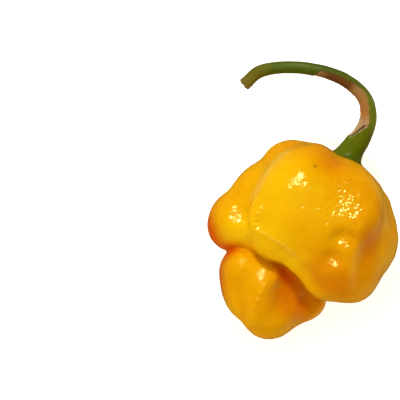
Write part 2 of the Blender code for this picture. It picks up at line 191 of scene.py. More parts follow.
# Painted shade and painted light in the skin's colour, partly also the pod's own uneven ripeness: more
# orange as painted shade under the hood, in hollows and valleys, on sides and low faces turned from the
# lamp, and at the left edges as painted shade and reflection; more lemon yellow, with a negative amount, as
# painted light on lit faces. Each has its middle, reach and amount.
Tint = namedtuple("Tint", "name middle reach amount")
SHADE_AND_RIPENESS_TINTS = (
    Tint("left lobe edge", (-21.6, -0.8, 16.6), 4.6, 1.0),
    Tint("left lobe root", (-16.0, -5.6, 19.0), 2.6, 0.5),
    Tint("bulb left edge", (-19.2, -11.0, 14.5), 4.8, 0.85),
    Tint("under the hood", (-4.4, -9.6, 22.0), 4.2, 0.25),
    Tint("bulb right side", (-4.5, -13.0, 20.0), 4.0, 0.22),
    Tint("pocket", (0.2, -16.2, 16.0), 3.0, 0.14),
    Tint("valley by the stalk", (4.2, 14.0, 28.0), 4.6, 0.27),
    Tint("shoulder", (11.2, 9.5, 28.0), 6.0, 0.12),
    Tint("side hollow", (13.2, -2.6, 30.5), 4.0, 0.33),
    Tint("shoulder low", (14.5, 3.2, 29.5), 4.0, 0.2),
    Tint("side", (12.5, -7.0, 28.0), 3.5, 0.12),
    Tint("face low", (1.5, -7.5, 31.0), 3.5, 0.14),
    Tint("low face", (6.5, -11.5, 29.0), 5.0, 0.28),
    Tint("left top", (-3.2, 17.6, 23.0), 4.0, 0.12),
    Tint("low side", (13.0, -12.0, 22.0), 6.0, 0.08),
    Tint("face left", (-9.6, -0.5, 30.0), 6.5, -0.3),
    Tint("face top", (-5.0, 10.5, 31.0), 6.5, -0.28),
    Tint("face middle", (3.0, 6.0, 34.0), 5.0, -0.12),
    Tint("left lobe middle", (-15.5, -1.0, 23.5), 4.6, -0.35),
    Tint("hood", (-3.5, -7.5, 29.0), 5.0, -0.2),
    Tint("bulb right low", (-4.5, -18.0, 18.5), 4.0, 0.3),
    Tint("bulb top", (-11.0, -8.0, 23.0), 4.0, -0.15),
    Tint("hood lip", (0.5, -12.5, 27.0), 3.0, -0.1),
    Tint("bulb right edge", (-1.5, -19.0, 15.0), 3.5, 0.2),
)
BROWN_SPECK = (1.5, 13.4, 31.3)

# The stalk from its cut end round the hook into the calyx: place and radius, as in the solid, which has
# one more point inside the pod.
StalkPoint = namedtuple("StalkPoint", "x y z radius")
STALK = (
    StalkPoint(-13.5, 31.5, 18.9, 1.39),
    StalkPoint(-9.3, 34.6, 20.0, 1.37),
    StalkPoint(-1.4, 35.1, 21.6, 1.33),
    StalkPoint(6.9, 33.1, 22.2, 1.51),
    StalkPoint(12.3, 29.1, 22.0, 1.68),
    StalkPoint(13.7, 24.5, 20.8, 1.9),
    StalkPoint(12.4, 20.3, 18.9, 2.31),
    StalkPoint(9.2, 15.8, 16.9, 3.3),
    StalkPoint(7.0, 12.6, 15.8, 4.2),
)
STALK_STATIONS = 420
STALK_SIDES = 96
STEPS_A_POINT = 40
# The stalk's tube ends this far from the skin, and rings lead on from it to the calyx.
NECK_ABOVE_SKIN = 4.0
BRIDGE_RINGS = 14
BRIDGE_KNEE = 0.55
# Ribs along the stalk: height, how many, and turn. Lumps: height, size, and start in the noise.
STALK_RIBS = ((0.035, 5.0, 0.0), (0.02, 11.0, 1.0))
STALK_LUMPS = ((0.05, 3.0, 1.7), (0.02, 0.9, 5.7))
# The calyx, where the stalk spreads over the skin: radii, height over the skin, and its small teeth.
CALYX_NECK = 3.1
CALYX_RIM = 3.8
CALYX_LIFT = 0.7
CALYX_THICKNESS = 0.28
CALYX_SINK = 0.3
CALYX_RINGS = 12
CALYX_TEETH = 6
CALYX_TEETH_DEPTH = 0.35
CALYX_TEETH_TURN = 0.8
CALYX_FLARE = 1.6
# How the calyx settles over the skin: in how many moves, how far each, and on how slanted a skin at most.
CALYX_STEPS = 24
CALYX_STEP_REACH = 0.8
CALYX_LEAST_SLOPE = 0.35
CALYX_RUN = 4.0
# The cut end: how rough its rim is, and its rings towards the middle, with how far in and how deep.
CUT_JAGGED = (0.25, 0.8, 2.2)
CUT_JAGGED_FADE = (1.0, 0.6, 0.25)
CUT_RINGS = ((0.25, 0.0), (0.5, 0.12), (0.8, 0.2), (0.97, 0.05))
CUT_TORN = 0.08
CUT_TORN_SIZE = 0.5
# The dry scar on the inner and upper side of the hook. Each edge runs past places of x and y, at an
# angle round the stalk from 0 on the inner side of the hook to 90 on top.
SCAR_EDGE = (
    (1.1, 33.9, -40), (3.1, 33.5, 88), (8.6, 31.3, 100), (12.2, 29.9, 118), (13.4, 28.0, 100),
    (13.7, 25.8, 88), (13.6, 23.6, 96), (12.6, 21.6, 66), (10.6, 19.4, 30), (9.0, 17.6, -40),
)
SLIT_LINE = ((13.4, 22.9, 74), (12.8, 21.4, 48), (11.7, 20.2, 30), (9.8, 17.6, 12))
# An edge has this angle where it doesn't run.
NO_EDGE = -200.0
SCAR_DEPTH = 0.16
SCAR_CRUST = ((0.06, 0.5, 8.2),)
# How ragged the scar's edge is, as layers of noise in degrees, and how soft, also in degrees.
SCAR_RAGGED = ((9.0, 1.1, 4.4), (6.0, 0.45, 9.4))
SCAR_BLUR = 7.0
SCAR_LOWER_EDGE = (-80.0, -60.0)
SLIT_DEPTH = 0.3
SLIT_HALF_WIDTH = 0.28
DEGREES_A_RADIAN = 57.3

# The camera looks straight down from this height over the picture's plane, and takes in this width.
PICTURE_PLANE = 18.0
PICTURE_WIDTH = 88.0
CAMERA_OVER = (-23.1, 6.16)
CAMERA_HEIGHT = 500.0
SENSOR_WIDTH = 36.0
# Lights: places and sizes in metres, powers in watts.
LAMP_DIRECTION = (-0.13, 0.58, 0.8)
LAMP_SIZE = 0.11
LAMP_POWER = 5.6
CEILING_PLACE = (-0.2, 0.25, 1.5)
CEILING_SIZE = 1.4
CEILING_POWER = 10.4
FILL_PLACE = (-0.45, -1.15, 0.45)
FILL_SIZE = 1.0
FILL_POWER = 5.0
FLOOR_GLOW = 0.68
ROOM_STRENGTH = 1.0
BRIGHT_SIDE = (0.745, -0.447, -0.497)
ROOM_COLOURS = ((0.0, (0.2, 0.14, 0.03)), (0.8, (0.2, 0.14, 0.03)), (1.0, (0.75, 0.5, 0.16)))
# Colours as linear red, green and blue, each with its place from 0 to 1. The skin's places go from lemon
# yellow to deep orange, the stalk's from its cut end to the calyx.
POD_COLOURS = (
    (0.0, (0.92, 0.56, 0.003)),
    (0.4, (0.80, 0.375, 0.001)),
    (0.65, (0.70, 0.235, 0.001)),
    (1.0, (0.69, 0.095, 0.001)),
)
# The lighter green round 0.72, at the outer bend of the hook, is painted sheen over the stalk's own greens.
STALK_GREENS = (
    (0.0, (0.165, 0.13, 0.02)),
    (0.08, (0.135, 0.12, 0.008)),
    (0.2, (0.062, 0.10, 0.006)),
    (0.4, (0.055, 0.088, 0.005)),
    (0.58, (0.08, 0.10, 0.008)),
    (0.72, (0.16, 0.19, 0.016)),
    (0.84, (0.11, 0.14, 0.005)),
    (0.93, (0.085, 0.125, 0.001)),
    (1.0, (0.08, 0.12, 0.001)),
)
SCAR_COLOURS = (
    (0.39, (0.32, 0.17, 0.065)),
    (0.46, (0.12, 0.04, 0.008)),
    (0.57, (0.14, 0.05, 0.010)),
    (0.61, (0.33, 0.165, 0.05)),
    (0.74, (0.40, 0.17, 0.04)),
    (0.79, (0.45, 0.29, 0.14)),
    (0.88, (0.44, 0.32, 0.19)),
)
# The colour of the painted highlight lines.
PAINTED_HIGHLIGHT_COLOUR = (0.94, 0.60, 0.09, 1.0)
SPECK_COLOUR = (0.18, 0.03, 0.008, 1.0)
SPECK_EDGE = (0.1, 0.5)
SPECK_SHARE = 0.8
SLIT_COLOUR = (0.025, 0.008, 0.003, 1.0)
CUT_COLOUR = (0.19, 0.17, 0.012, 1.0)
# The skin's tone where nothing tints it, and how much painted shade, darker and more orange, a deep fold
# adds to it.
PLAIN_TONE = 0.4
FOLD_SHADE = 0.18


def smooth_step(low, high, value):
    """0 below low, 1 above high, and an even S between."""
    t = np.clip((value - low) / (high - low), 0.0, 1.0)
    return t * t * (3.0 - 2.0 * t)


def fading_ends(along, share):
    """1 along a path, fading to 0 over that share of it at each end."""
    return smooth_step(0.0, share, along) * smooth_step(1.0, 1.0 - share, along)


def soft_least(distances, normals, blend):
    """The least of several distances, with the blend width rounding where two are alike."""
    least = distances.min(axis=0)
    weights = np.exp(-(distances - least) / blend)
    total = weights.sum(axis=0)
    normal = (normals * weights[..., None]).sum(axis=0) / total[..., None]
    return least - blend * np.log(total), normal


def path_distance(points, path):
    """How far points are from a path seen from above, and how far along it they lie, from 0 to 1."""
    path = np.array(path)
    lengths = np.linalg.norm(np.diff(path, axis=0), axis=1)
    starts = np.concatenate([[0.0], np.cumsum(lengths)])
    best = np.full(len(points), 1e9)
    along = np.zeros(len(points))
    for start, end, length, before in zip(path[:-1], path[1:], lengths, starts):
        direction = (end - start) / length
        reach = ((points[:, :2] - start) @ direction).clip(0.0, length)
        gap = np.linalg.norm(points[:, :2] - start - reach[:, None] * direction, axis=1)
        nearer = gap < best
        best[nearer] = gap[nearer]
        along[nearer] = (before + reach[nearer]) / starts[-1]
    return best, along


def lobe_distance(points, lobe):
    """How far each point is outside one lobe, and which way is out. A fullness above 2 makes a lobe
    flatter on top and steeper at its sides than an ellipsoid, with the same outline from above."""
    fullness = lobe.fullness
    turn = math.radians(lobe.turn)
    axes = np.array(
        [
            [math.cos(turn), -math.sin(turn), 0.0],
            [math.sin(turn), math.cos(turn), 0.0],
            [0.0, 0.0, 1.0],
        ]
    )
    radii = np.array(lobe.radii)
    scaled = (points - np.array(lobe.middle)) @ axes / radii
    level = np.hypot(scaled[:, 0], scaled[:, 1]) + 1e-9
    upright = np.abs(scaled[:, 2]) + 1e-9
    reach = (level**fullness + upright**fullness) ** (1.0 / fullness)
    slope = np.empty_like(scaled)
    slope[:, :2] = scaled[:, :2] * (level ** (fullness - 2.0) / reach ** (fullness - 1.0))[:, None]
    slope[:, 2] = np.sign(scaled[:, 2]) * (upright / reach) ** (fullness - 1.0)
    slope /= radii
    steepness = np.linalg.norm(slope, axis=1) + 1e-9
    return (reach - 1.0) / steepness, (slope / steepness[:, None]) @ axes.T


def skin_distance(points):
    """How far each point is outside the pod's skin, and which way is out, in millimetres."""
    families = {}
    for lobe in LOBES:
        families.setdefault(lobe.family, []).append(lobe_distance(points, lobe))
    merged = {}
    for family, members in families.items():
        distances = np.array([member[0] for member in members])
        normals = np.array([member[1] for member in members])
        merged[family] = soft_least(distances, normals, FAMILY_BLEND[family])
    distance, normal = merged["body"]
    for family, blend in CREASE_BLENDS.items():
        distances = np.array([distance, merged[family][0]])
        normals = np.array([normal, merged[family][1]])
        distance, normal = soft_least(distances, normals, blend)
    for dimple in DIMPLES:
        gap = np.linalg.norm(points - np.array(dimple.middle), axis=1)
        distance = distance + dimple.depth * np.exp(-((gap / dimple.half_width) ** 2))
    upper = smooth_step(UPPER_SIDE_FROM, UPPER_SIDE_FROM + UPPER_SIDE_FADE, points[:, 2])
    for fold in FOLDS:
        gap, along = path_distance(points, fold.path)
        depth = fold.depth * fading_ends(along, FOLD_ENDS)
        distance = distance + depth * np.exp(-((gap / fold.half_width) ** 2)) * upper
    for facet in FACETS:
        offset = points - np.array(facet.middle)
        share = facet.share * np.exp(-((np.linalg.norm(offset, axis=1) / facet.reach) ** FACET_EDGE))
        distance = distance * (1.0 - share) + offset @ np.array(facet.facing) * share
    return distance, normal


def unit(vectors):
    """The vectors at length one."""
    return vectors / np.linalg.norm(vectors, axis=-1, keepdims=True).clip(1e-9)


def noise_at(points, size, offset=0.0):
    """Smooth noise from about -1 to 1 at each point, with swells of the size in millimetres."""
    shift = Vector((offset, offset, offset))
    return np.array([noise.noise(Vector(point) / size + shift) for point in points])


def layered_noise(points, layers):
    """Several layers of noise added up, each with its height, size and start."""
    return sum(height * noise_at(points, size, start) for height, size, start in layers)


def mesh_points(mesh):
    """A mesh's vertices as an array in millimetres."""
    flat = np.empty(len(mesh.vertices) * 3)
    mesh.vertices.foreach_get("co", flat)
    return flat.reshape(-1, 3) / MM


def set_points(mesh, points):
    """Put a mesh's vertices at the points, given in millimetres."""
    mesh.vertices.foreach_set("co", (points * MM).ravel())
    mesh.update()


def settle(points, lift, steps):
    """Move points onto the blended skin, raised by lift, in a few steps."""
    for _ in range(steps):
        distance, normal = skin_distance(points)
        miss = np.clip(distance - lift, -SETTLE_REACH, SETTLE_REACH)
        length = np.linalg.norm(normal, axis=1).clip(LEAST_NORMAL)
        points = points - normal * (miss / length**2)[:, None]
    return points


def relax(mesh, points, rounds):
    """Move each point halfway to the middle of its neighbours, a few times, to even out the creases."""
    ends = np.empty(len(mesh.edges) * 2, dtype=np.int64)
    mesh.edges.foreach_get("vertices", ends)
    one, other = ends[0::2], ends[1::2]
    size = len(points)
    count = np.bincount(one, minlength=size) + np.bincount(other, minlength=size)
    for _ in range(rounds):
        total = np.empty_like(points)
        for axis in range(3):
            total[:, axis] = np.bincount(one, points[other, axis], size)
            total[:, axis] += np.bincount(other, points[one, axis], size)
        points = 0.5 * points + 0.5 * total / count[:, None]
    return points


def ridge_heights(points, normals):
    """The height that the ridges add at each point."""
    height = np.zeros(len(points))
    upper = smooth_step(0.0, RIDGE_FROM_SLOPE, normals[:, 2]) * (points[:, 2] > UPPER_SIDE_FROM)
    for ridge in RIDGES:
        gap, along = path_distance(points, ridge.path)
        ends = fading_ends(along, RIDGE_ENDS)
        length = np.linalg.norm(np.diff(np.array(ridge.path), axis=0), axis=1).sum()
        knobs = 1.0 - KNOB_SHARE + KNOB_SHARE * np.cos(2.0 * math.pi * along * length / ridge.knobs)
        height += ridge.height * np.exp(-((gap / ridge.half_width) ** 2)) * ends * knobs * upper
    return height


def wrinkle_heights(points):
    """The height that the patches of wrinkles add at each point."""
    height = np.zeros(len(points))
    for patch in WRINKLES:
        gap = np.linalg.norm(points - np.array(patch.middle), axis=1)
        near = np.flatnonzero(gap < patch.reach * WRINKLES_END)
        fading = np.exp(-((gap[near] / patch.reach) ** 4))
        height[near] += patch.height * fading * noise_at(points[near], patch.size, patch.reach)
    return height


def refine(mesh):
    """Halve the faces where ridges and wrinkles come, so that they show crisply."""
    centres = np.empty(len(mesh.polygons) * 3)
    mesh.polygons.foreach_get("center", centres)
    centres = centres.reshape(-1, 3) / MM
    fine = np.zeros(len(centres), dtype=bool)
    for ridge in RIDGES:
        fine |= path_distance(centres, ridge.path)[0] < REFINE_REACH
    for patch in WRINKLES:
        fine |= np.linalg.norm(centres - np.array(patch.middle), axis=1) < patch.reach * REFINE_REACH
    fine &= centres[:, 2] > UPPER_SIDE_FROM
    build = bmesh.new()
    build.from_mesh(mesh)
    edges = {edge for face, chosen in zip(build.faces, fine) if chosen for edge in face.edges}
    bmesh.ops.subdivide_edges(build, edges=list(edges), cuts=1, use_grid_fill=True)
    build.to_mesh(mesh)
    build.free()


def fold_shade(points, normals):
    """How much the skin around closes in over each point: 0 in the open and 1 deep in a fold, which the
    skin's colour uses for painted shade.
    """
    closed = np.zeros(len(points))
    for reach, share in SHELTER_STEPS:
        distance, _ = skin_distance(points + normals * reach)
        closed += share * (1.0 - (distance / reach).clip(0.0, 1.0))
    return closed


def add_attribute(mesh, name, values):
    """Store one number for each vertex for the materials to read."""
    attribute = mesh.attributes.new(name, "FLOAT", "POINT")
    attribute.data.foreach_set("value", np.asarray(values, dtype=np.float32))


def evaluated_mesh(thing):
    """A new mesh of the object with its modifiers applied."""
    bpy.context.view_layer.update()
    graph = bpy.context.evaluated_depsgraph_get()
    return bpy.data.meshes.new_from_object(thing.evaluated_get(graph))


def voxel_skin(thing, cell):
    """The object's outer skin as one even mesh; the object is removed."""
    remesh = thing.modifiers.new("one skin", "REMESH")
    remesh.mode = "VOXEL"
    remesh.voxel_size = cell * MM
    mesh = evaluated_mesh(thing)
    bpy.data.objects.remove(thing, do_unlink=True)
    return mesh


def rough_pod():
    """The lobes joined, settled on the blended skin, and remeshed evenly as one closed mesh."""
    spheres = []
    for lobe in LOBES:
        bpy.ops.mesh.primitive_uv_sphere_add(
            segments=LOBE_SEGMENTS,
            ring_count=LOBE_RINGS,
            radius=1.0,
            location=[place * MM for place in lobe.middle],
            rotation=(0.0, 0.0, math.radians(lobe.turn)),
            scale=[radius * MM for radius in lobe.radii],
        )
        spheres.append(bpy.context.object)
    bpy.ops.object.select_all(action="DESELECT")
    for sphere in spheres:
        sphere.select_set(True)
    bpy.context.view_layer.objects.active = spheres[0]
    bpy.ops.object.join()
    bpy.ops.object.transform_apply(location=True, rotation=True, scale=True)
    mesh = voxel_skin(bpy.context.object, ROUGH_CELL)
    set_points(mesh, settle(mesh_points(mesh), 0.0, ROUGH_STEPS))
    rough = bpy.data.objects.new("rough pod", mesh)
    bpy.context.scene.collection.objects.link(rough)
    return voxel_skin(rough, POD_CELL)


def shade_and_ripeness_amounts(points):
    """How much more orange, or with a negative amount more lemon, each point is than the plain skin:
    painted shade and painted light, partly also the pod's own ripeness.
    """
    shade_and_ripeness = np.zeros(len(points))
    for spot in SHADE_AND_RIPENESS_TINTS:
        gap = np.linalg.norm(points - np.array(spot.middle), axis=1)
        shade_and_ripeness += spot.amount * np.exp(-((gap / spot.reach) ** 2))
    return shade_and_ripeness


def painted_highlight_amounts(points):
    """How strongly the painted highlight lines show at each point."""
    pale = np.zeros(len(points))
    for line in PAINTED_HIGHLIGHT_LINES:
        gap, along = path_distance(points, line.path)
        pale += line.strength * np.exp(-((gap / line.half_width) ** 2)) * fading_ends(along, PAINTED_HIGHLIGHT_ENDS)
    return pale * (points[:, 2] > UPPER_SIDE_FROM)


def make_pod(skin):
    """The fruit's fine skin, which stands for the solid pod."""
    mesh = rough_pod()
    mesh.name = "pepper_pod"
    refine(mesh)
    points = mesh_points(mesh)
    points = settle(points, DENT_DEPTH * noise_at(points, DENT_SIZE), FINE_STEPS)
    points = relax(mesh, points, RELAX_ROUNDS)
    normals = unit(skin_distance(points)[1])
    closed = fold_shade(points, normals)
    height = ridge_heights(points, normals) + wrinkle_heights(points) + layered_noise(points, SKIN_BUMPS)
    points = points + normals * height[:, None]
    points[:, 2] = points[:, 2].clip(0.0)
    set_points(mesh, points)
    # These stored numbers carry painted light and shade into the colour: orange and lemon spots of painted
    # shade and light with some real ripeness, the fold depth for painted shade in folds, and the pale
    # painted highlight lines.
    add_attribute(mesh, "shade_and_ripeness", shade_and_ripeness_amounts(points))
    add_attribute(mesh, "fold_shade", closed)
    add_attribute(mesh, "pale", painted_highlight_amounts(points))
    add_attribute(mesh, "speck", np.linalg.norm(points - np.array(BROWN_SPECK), axis=1))
    mesh.shade_smooth()
    pod = bpy.data.objects.new("pepper_pod", mesh)
    bpy.context.scene.collection.objects.link(pod)
    mesh.materials.clear()
    mesh.materials.append(skin)
    return pod


def stalk_route(stations):
    """Places and radii along a smooth curve through the stalk's points, evenly spaced."""
    knots = np.array(STALK)
    ends = [2 * knots[0] - knots[1], *knots, 2 * knots[-1] - knots[-2]]
    fine = []
    for a, b, c, d in zip(ends, ends[1:], ends[2:], ends[3:]):
        for t in np.linspace(0.0, 1.0, STEPS_A_POINT, endpoint=False):
            fine.append(0.5 * (2 * b + (c - a) * t + (2 * a - 5 * b + 4 * c - d) * t**2
                               + (3 * b - a - 3 * c + d) * t**3))
    fine = np.array(fine + [knots[-1]])
    lengths = np.linalg.norm(np.diff(fine[:, :3], axis=0), axis=1)
    along = np.concatenate([[0.0], np.cumsum(lengths)])
    even = np.linspace(0.0, along[-1], stations)
    route = np.array([np.interp(even, along, fine[:, column]) for column in range(4)]).T
    return even, route[:, :3], route[:, 3]


def place_along(middles, x, y):
    """The station of the stalk nearest to a place seen from above."""
    return int(np.argmin(np.hypot(middles[:, 0] - x, middles[:, 1] - y)))


def edge_angles(middles, edge):
    """The angle round the stalk at each station of an edge given as x, y and angle, in degrees."""
    stations = [place_along(middles, x, y) for x, y, _ in edge]
    angles = [angle for _, _, angle in edge]
    return np.interp(np.arange(len(middles)), stations, angles, left=NO_EDGE, right=NO_EDGE)


def calyx_rings(hub, outward, across, upward, around):
    """Rings of the calyx, which spreads over the skin round the stalk and ends in small teeth."""
    rings = []
    skin_points = None
    for step in range(CALYX_RINGS):
        spread = step / (CALYX_RINGS - 1)
        radius = CALYX_NECK + (CALYX_RIM - CALYX_NECK) * spread
        radius = radius + CALYX_TEETH_DEPTH * spread**3 * np.cos(CALYX_TEETH * around + CALYX_TEETH_TURN)
        lift = CALYX_LIFT * (1.0 - spread) ** CALYX_FLARE + CALYX_THICKNESS
        side = np.cos(around)[:, None] * across + np.sin(around)[:, None] * upward
        points = hub + radius[:, None] * side
        if skin_points is not None:
            points = points + outward * ((skin_points - hub) @ outward)[:, None]
        for _ in range(CALYX_STEPS):
            distance, normal = skin_distance(points)
            slope = (normal @ outward).clip(CALYX_LEAST_SLOPE)
            step_on = np.clip((distance - lift) / slope, -CALYX_STEP_REACH, CALYX_STEP_REACH)
            points = points - outward * step_on[:, None]
        skin_points = points
        rings.append(points)
    under = rings[-1] - outward * (CALYX_THICKNESS + CALYX_SINK)
    rings.append(under)
    return rings


def scar_mask(flat, middles, degrees):
    """Where the dry scar is, from 0 to 1, with ragged edges."""
    edge = edge_angles(middles, SCAR_EDGE)[:, None]
    ragged = layered_noise(flat, SCAR_RAGGED).reshape(len(middles), -1)
    scar = smooth_step(-SCAR_BLUR, SCAR_BLUR, edge + ragged - degrees[None, :])
    return scar * smooth_step(*SCAR_LOWER_EDGE, degrees)[None, :]


def slit_mask(middles, radii, degrees):
    """Where the thin split in the scar is, from 0 to 1."""
    line = edge_angles(middles, SLIT_LINE)[:, None]
    width = SLIT_HALF_WIDTH / radii[:, None] * DEGREES_A_RADIAN
    return np.exp(-(((degrees[None, :] - line) / width) ** 2)) * (line > NO_EDGE)


def stalk_relief(flat, around, scar, slit):
    """The height of ribs, lumps, scar and split round each ring of the stalk, in millimetres."""
    rings = len(scar)
    ribs = sum(height * np.cos(count * around + turn) for height, count, turn in STALK_RIBS)[None, :]
    lumps = layered_noise(flat, STALK_LUMPS).reshape(rings, -1)
    crust = layered_noise(flat, SCAR_CRUST).reshape(rings, -1)
    return ribs + lumps - scar * (SCAR_DEPTH + crust) - SLIT_DEPTH * slit


def bridge_rings(neck, calyx, direction):
    """Rings that lead in a curve from the stalk's last ring to the calyx."""
    reach = np.linalg.norm(calyx - neck, axis=1, keepdims=True)
    knee = neck + direction * reach * BRIDGE_KNEE
    rings = []
    for step in range(1, BRIDGE_RINGS):
        t = step / BRIDGE_RINGS
        rings.append((1 - t) ** 2 * neck + 2 * t * (1 - t) * knee + t * t * calyx)
    return rings


def cut_rings(rim, inward):
    """Rings that close the cut end, sunk and torn towards its middle."""
    middle = rim.mean(axis=0)
    rings = []
    for inset, depth in CUT_RINGS:
        torn = CUT_TORN * noise_at(rim * (1.0 + inset), CUT_TORN_SIZE, inset)[:, None]
        rings.append(rim + (middle - rim) * inset + inward * (depth + torn))
    return rings


def tube_faces(count):
    """The faces of a tube with that many rings, closed at both ends."""
    faces = []
    for row in range(count - 1):
        for side in range(STALK_SIDES):
            after = (side + 1) % STALK_SIDES
            low, high = row * STALK_SIDES, (row + 1) * STALK_SIDES
            faces.append((low + side, low + after, high + after, high + side))
    faces.append(tuple(range(STALK_SIDES))[::-1])
    end = (count - 1) * STALK_SIDES
    faces.append(tuple(end + side for side in range(STALK_SIDES)))
    return faces


def mark_stalk(mesh, count, before, along, around, masks):
    """Store on each vertex where it lies and what it belongs to, for the material to read."""
    shape = (count, STALK_SIDES)
    behind = count - before - len(along)
    whole = along[-1] + CALYX_RUN
    distances = np.concatenate([np.zeros(before), along, np.linspace(along[-1], whole, behind)]) / whole
    add_attribute(mesh, "along", np.broadcast_to(distances[:, None], shape).ravel())
    for name, values in masks.items():
        padded = np.zeros(shape)
        padded[before:before + len(along)] = values
        add_attribute(mesh, name, padded.ravel())
    end_mask = np.zeros(shape)
    end_mask[:before + 1] = 1.0
    add_attribute(mesh, "cut_end", end_mask.ravel())
    grain = np.zeros(shape + (3,))
    grain[..., 0] = np.cos(around)[None, :] * 2.0
    grain[..., 1] = np.sin(around)[None, :] * 2.0
    grain[..., 2] = distances[:, None] * whole
    attribute = mesh.attributes.new("grain_place", "FLOAT_VECTOR", "POINT")
    attribute.data.foreach_set("vector", grain.reshape(-1).astype(np.float32))


def make_stalk(surface):
    """The hooked stalk with its calyx, which stands for the solid stem."""
    along, middles, radii = stalk_route(STALK_STATIONS)
    tangents = unit(np.gradient(middles, axis=0))
    inner = unit(np.cross(tangents, np.array([0.0, 0.0, 1.0])))
    upward = np.cross(inner, tangents)
    around = np.linspace(0.0, 2.0 * math.pi, STALK_SIDES, endpoint=False)
    degrees = (np.degrees(around) + 180.0) % 360.0 - 180.0
    outside = skin_distance(middles)[0]
    last = int(np.argmax(outside < NECK_ABOVE_SKIN))
    along, middles, radii = along[:last], middles[:last], radii[:last]
    tangents, inner, upward = tangents[:last], inner[:last], upward[:last]
    ring = np.cos(around)[None, :, None] * inner[:, None] + np.sin(around)[None, :, None] * upward[:, None]
    flat = (middles[:, None] + radii[:, None, None] * ring).reshape(-1, 3)
    scar = scar_mask(flat, middles, degrees)
    slit = slit_mask(middles, radii, degrees)
    height = stalk_relief(flat, around, scar, slit)
    points = middles[:, None] + (radii[:, None] + height)[..., None] * ring

    hub = middles[-1] + tangents[-1] * outside[last]
    calyx = calyx_rings(hub, -tangents[-1], inner[-1], upward[-1], around)
    bridge = bridge_rings(points[-1], calyx[0], tangents[-1])
    jagged = layered_noise(points[0], (CUT_JAGGED,))
    fade = np.array(CUT_JAGGED_FADE)[:, None, None]
    points[:len(fade)] += (tangents[0] * -jagged[:, None])[None] * fade
    cut = cut_rings(points[0], tangents[0])
    rows = np.array(cut[::-1] + list(points) + bridge + calyx)

    mesh = bpy.data.meshes.new("pepper_stalk")
    mesh.from_pydata((rows.reshape(-1, 3) * MM).tolist(), [], tube_faces(len(rows)))
    mesh.update()
    mesh.shade_smooth()
    mark_stalk(mesh, len(rows), len(cut), along, around, {"scar": scar, "slit": slit})
    stalk = bpy.data.objects.new("pepper_stalk", mesh)
    bpy.context.scene.collection.objects.link(stalk)
    mesh.materials.append(surface)
    return stalk


def add_node(tree, kind, **values):
    """A shader node with its properties set."""
    node = tree.nodes.new(kind)
    for name, value in values.items():
        setattr(node, name, value)
    return node


def new_material(name):
    """A material with its node tree, and its Principled shader."""
    material = bpy.data.materials.new(name)
    material.use_nodes = True
    return material, material.node_tree, material.node_tree.nodes["Principled BSDF"]


def new_group(name, inputs, outputs):
    """A shader node group with its inputs, each with a default, and its outputs."""
    group = bpy.data.node_groups.new(name, "ShaderNodeTree")
    for socket, kind, value in inputs:
        made = group.interface.new_socket(socket, in_out="INPUT", socket_type=kind)
        if value is not None:
            made.default_value = value
    for socket, kind in outputs:
        group.interface.new_socket(socket, in_out="OUTPUT", socket_type=kind)
    return group, group.nodes.new("NodeGroupInput"), group.nodes.new("NodeGroupOutput")


def use_group(tree, group, **values):
    """The group placed in a material, with its own values."""
    node = add_node(tree, "ShaderNodeGroup", node_tree=group)
    for name, value in values.items():
        node.inputs[name.replace("_", " ")].default_value = value
    return node


def math_node(tree, operation, first, second=None, third=None, clamp=False):
    """A math node fed by sockets or numbers; returns its output."""
    node = add_node(tree, "ShaderNodeMath", operation=operation, use_clamp=clamp)
    for socket, value in zip(node.inputs, (first, second, third)):
        if isinstance(value, bpy.types.NodeSocket):
            tree.links.new(value, socket)
        elif value is not None:
            socket.default_value = value
    return node.outputs[0]


def mix_colours(tree, share, first, second, blend="MIX"):
    """A mix of two colours, each a socket or a value; returns its output."""
    node = add_node(tree, "ShaderNodeMix", data_type="RGBA", blend_type=blend)
    # The Mix node's sockets 6 and 7 are its two colours, and its output 2 is the mixed one.
    for socket, value in ((node.inputs[0], share), (node.inputs[6], first), (node.inputs[7], second)):
        if isinstance(value, bpy.types.NodeSocket):
            tree.links.new(value, socket)
        else:
            socket.default_value = value
    return node.outputs[2]


def colour_ramp(tree, share, stops):
    """A colour ramp over the share, with stops of place and colour; returns its colour."""
    node = add_node(tree, "ShaderNodeValToRGB")
    elements = node.color_ramp.elements
    while len(elements) < len(stops):
        elements.new(0.5)
    for element, (place, colour) in zip(elements, stops):
        element.position = place
        element.color = (*colour, 1.0)
    tree.links.new(share, node.inputs["Fac"])
    return node.outputs["Color"]


def attribute_node(tree, name):
    """The stored number of that name."""
    return add_node(tree, "ShaderNodeAttribute", attribute_name=name).outputs["Fac"]


def mottle_group():
    """Soft cloudy patches: a mask around zero, from two sizes of noise."""
    inputs = (("Vector", "NodeSocketVector", None), ("Scale", "NodeSocketFloat", 150.0),
              ("Stretch", "NodeSocketFloat", 1.0), ("Amount", "NodeSocketFloat", 1.0))
    group, into, out = new_group("mottle", inputs, (("Mask", "NodeSocketFloat"),))
    link = group.links.new
    squeeze = add_node(group, "ShaderNodeCombineXYZ")
    squeeze.inputs["X"].default_value = 1.0
    squeeze.inputs["Y"].default_value = 1.0
    link(into.outputs["Stretch"], squeeze.inputs["Z"])
    place = add_node(group, "ShaderNodeVectorMath", operation="MULTIPLY")
    link(into.outputs["Vector"], place.inputs[0])
    link(squeeze.outputs[0], place.inputs[1])
    clouds = add_node(group, "ShaderNodeTexNoise")
    clouds.inputs["Detail"].default_value = 3.0
    clouds.inputs["Roughness"].default_value = 0.55
    link(place.outputs[0], clouds.inputs["Vector"])
    link(into.outputs["Scale"], clouds.inputs["Scale"])
    centred = math_node(group, "SUBTRACT", clouds.outputs["Fac"], 0.5)
    link(math_node(group, "MULTIPLY", centred, into.outputs["Amount"]), out.inputs["Mask"])
    return group


